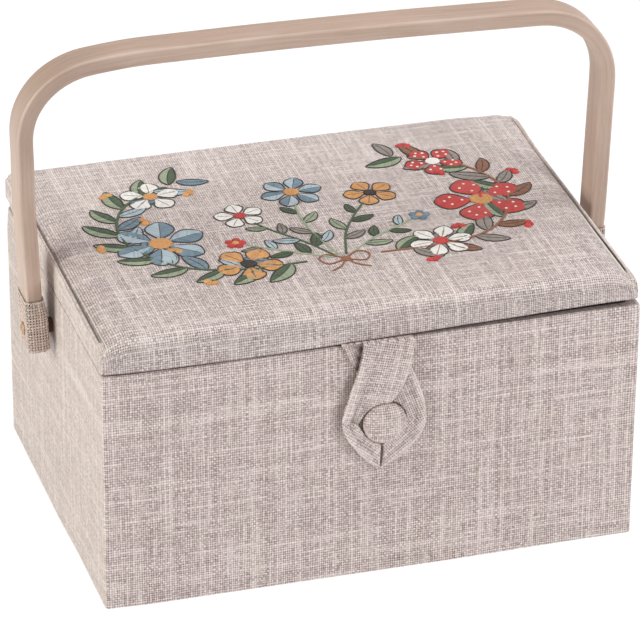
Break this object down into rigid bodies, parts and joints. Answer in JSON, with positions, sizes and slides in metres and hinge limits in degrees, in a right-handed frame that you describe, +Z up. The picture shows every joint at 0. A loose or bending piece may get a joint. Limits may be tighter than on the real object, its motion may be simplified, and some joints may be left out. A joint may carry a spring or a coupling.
{
  "type": "sewing box",
  "caption": "Linen-covered sewing box with a hinged padded lid, bentwood swing handle, strap-and-button closure, lining and lift-out compartment tray.",
  "frame": {"origin": "centre of the case's footprint, on the surface it stands on", "axes": "+X to the right of someone facing the button, +Y to the rear, +Z up"},
  "size_m": [0.3632, 0.2399, 0.2986],
  "materials": {
    "linen": "matte",
    "board": "matte",
    "lining_cloth": "satin",
    "elastic": "matte",
    "foam": "matte",
    "cushion_cloth": "satin",
    "bentwood": "satin",
    "burlap": "matte",
    "antique_brass": "satin",
    "steel": "satin",
    "spacer_plastic": "matte",
    "nylon": "matte",
    "tray_plastic": "satin"
  },
  "bodies": {
    "case": {"bottom_cover": "linen", "base_board": "board", "front_board": "board", "back_board": "board", "left_board": "board", "right_board": "board", "outer_cover": "linen", "floor_lining": "lining_cloth", "front_lining": "lining_cloth", "back_lining": "lining_cloth", "left_lining": "lining_cloth", "right_lining": "lining_cloth", "left_ledge": "lining_cloth", "right_ledge": "lining_cloth", "hinge_cloth": "linen", "button_dome": "linen", "button_back": "nylon", "pivot_rivets": "antique_brass", "rivet_washers": "steel", "pivot_spacers": "spacer_plastic"},
    "lid": {"lid_front_rail": "board", "lid_back_rail": "board", "lid_left_rail": "board", "lid_right_rail": "board", "lid_board": "board", "lid_padding": "foam", "lid_cover": "linen", "lid_left_band": "linen", "lid_right_band": "linen", "lid_lining": "lining_cloth", "lid_pocket": "lining_cloth", "pocket_elastic": "elastic", "pin_cushion": "cushion_cloth"},
    "handle": {"handle_bow": "bentwood", "left_cuff": "burlap", "right_cuff": "burlap"},
    "tray": {"tray": "tray_plastic"},
    "strap": {"closure_strap": "linen"}
  },
  "joints": [
    {"name": "lid_hinge", "type": "hinge", "parent": "case", "child": "lid", "pos_m": [0, 0.1155, 0.152], "axis": [-1, 0, 0], "range_deg": [0, 100], "deforming": ["hinge_cloth", "closure_strap"]},
    {"name": "handle_swing", "type": "hinge", "parent": "case", "child": "handle", "pos_m": [0, 0.0025, 0.127], "axis": [-1, 0, 0], "range_deg": [0, 100]},
    {"name": "strap_flip", "type": "hinge", "parent": "lid", "child": "strap", "pos_m": [0, -0.1155, 0.1526], "axis": [-1, 0, 0], "range_deg": [0, 110]},
    {"name": "tray_lift", "type": "slide", "parent": "case", "child": "tray", "axis": [0, 0, 1], "range_m": [0, 0.008]}
  ],
  "couplings": [
    {"joint": "handle_swing", "follows": "lid_hinge", "ratio": 1}
  ]
}
